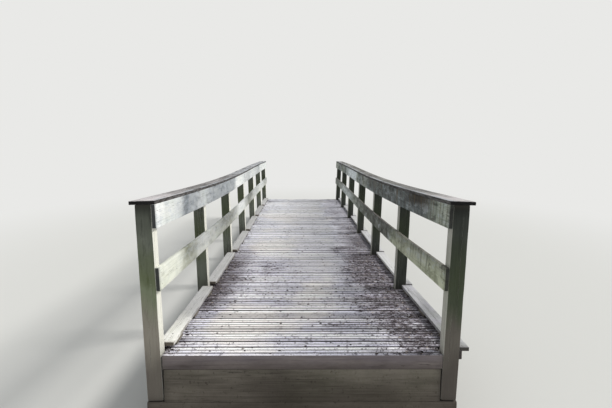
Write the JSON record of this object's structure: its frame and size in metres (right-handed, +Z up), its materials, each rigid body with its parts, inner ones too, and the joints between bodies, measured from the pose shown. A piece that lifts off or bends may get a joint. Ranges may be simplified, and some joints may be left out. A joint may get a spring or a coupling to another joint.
{
  "type": "wooden footbridge",
  "caption": "Weathered timber footbridge with a boarded deck, raised kerb planks, square posts, two flat rails and a flat cap board on each side, on end sills.",
  "frame": {"origin": "bottom centre of the bounding box, midway between the end sills on the plane they rest on", "axes": "+Y along the walkway towards the far end, +Z up, +X to the right when walking towards +Y"},
  "size_m": [2.1376, 9.701, 1.4523],
  "materials": {
    "post_timber": "weathered, matt",
    "left_cap_timber": "weathered, matt",
    "right_cap_timber": "weathered, matt",
    "left_rail_timber": "weathered, matt",
    "right_rail_timber": "weathered, matt",
    "kerb_timber": "weathered, matt",
    "deck_timber": "weathered, matt",
    "beam_timber": "weathered, matt"
  },
  "bodies": {
    "root": {"left_post_1": "post_timber", "left_post_2": "post_timber", "left_post_3": "post_timber", "left_post_4": "post_timber", "left_post_5": "post_timber", "left_post_6": "post_timber", "left_post_7": "post_timber", "left_cap_near": "left_cap_timber", "left_top_rail_near": "left_rail_timber", "left_mid_rail_near": "left_rail_timber", "left_cap_far": "left_cap_timber", "left_top_rail_far": "left_rail_timber", "left_mid_rail_far": "left_rail_timber", "left_kerb_planks": "kerb_timber", "left_kerb_blocks": "beam_timber", "left_stringer": "beam_timber", "right_post_1": "post_timber", "right_post_2": "post_timber", "right_post_3": "post_timber", "right_post_4": "post_timber", "right_post_5": "post_timber", "right_post_6": "post_timber", "right_post_7": "post_timber", "right_cap_near": "right_cap_timber", "right_top_rail_near": "right_rail_timber", "right_mid_rail_near": "right_rail_timber", "right_cap_far": "right_cap_timber", "right_top_rail_far": "right_rail_timber", "right_mid_rail_far": "right_rail_timber", "right_kerb_planks": "kerb_timber", "right_kerb_blocks": "beam_timber", "right_stringer": "beam_timber", "middle_stringer": "beam_timber", "deck_bay_1": "deck_timber", "deck_bay_2": "deck_timber", "deck_bay_3": "deck_timber", "deck_bay_4": "deck_timber", "deck_bay_5": "deck_timber", "deck_bay_6": "deck_timber", "near_sill": "beam_timber", "far_sill": "beam_timber", "near_end_plank": "beam_timber", "far_end_plank": "beam_timber"}
  },
  "joints": []
}
